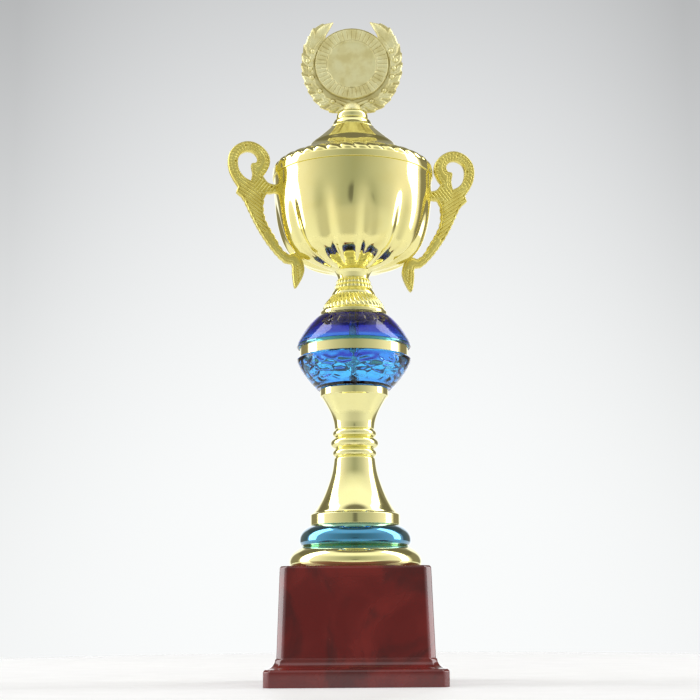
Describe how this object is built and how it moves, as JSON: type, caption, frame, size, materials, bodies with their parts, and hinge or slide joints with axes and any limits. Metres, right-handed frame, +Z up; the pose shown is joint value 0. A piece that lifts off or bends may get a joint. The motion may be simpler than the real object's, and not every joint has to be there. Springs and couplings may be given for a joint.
{
  "type": "cup trophy",
  "caption": "Lidded presentation cup with scroll handles, a laurel emblem holder on its lid, a blue crystal ball stem and a maroon square plinth.",
  "frame": {"origin": "centre of the plinth's underside, on the surface that the trophy stands on", "axes": "+Z up; +X towards the right-hand handle as seen from the front; the front with the emblem faces -Y"},
  "size_m": [0.1258, 0.084, 0.3354],
  "materials": {
    "plinth_plastic": "glossy maroon with faint marbled swirls",
    "weight_iron": "raw",
    "pad_felt": "matt felt",
    "zinc_steel": "zinc plated",
    "gold_plated_plastic": "vacuum metallised champagne gold, polished",
    "blue_plated_plastic": "metallised teal blue, polished",
    "blue_crystal": "clear blue, polished",
    "gold_metal": "polished gold plated",
    "cast_gold_plastic": "satin gold with engraved lines",
    "wreath_plastic": "satin pale gold"
  },
  "bodies": {
    "trophy": {"plinth": "plinth_plastic", "plinth_weight": "weight_iron", "base_pad": "pad_felt", "base_washer": "zinc_steel", "base_nut": "zinc_steel", "tie_rod": "zinc_steel", "foot_ring_gold": "gold_plated_plastic", "foot_ring_blue": "blue_plated_plastic", "column": "gold_plated_plastic", "crystal_lower": "blue_crystal", "ball_band": "gold_plated_plastic", "crystal_upper": "blue_crystal", "neck": "gold_plated_plastic", "bowl": "gold_metal", "bowl_washer": "zinc_steel", "bowl_nut": "zinc_steel", "handle_left": "cast_gold_plastic", "handle_right": "cast_gold_plastic", "handle_screws_left": "zinc_steel", "handle_screws_right": "zinc_steel", "handle_washers_left": "zinc_steel", "handle_washers_right": "zinc_steel"},
    "lid": {"lid": "gold_metal", "finial_base": "gold_plated_plastic", "wreath": "wreath_plastic", "lid_screw": "zinc_steel", "lid_washer": "zinc_steel"}
  },
  "joints": [
    {"name": "lid_lift", "type": "slide", "parent": "trophy", "child": "lid", "axis": [0, 0, 1], "range_m": [0, 0.06]}
  ]
}
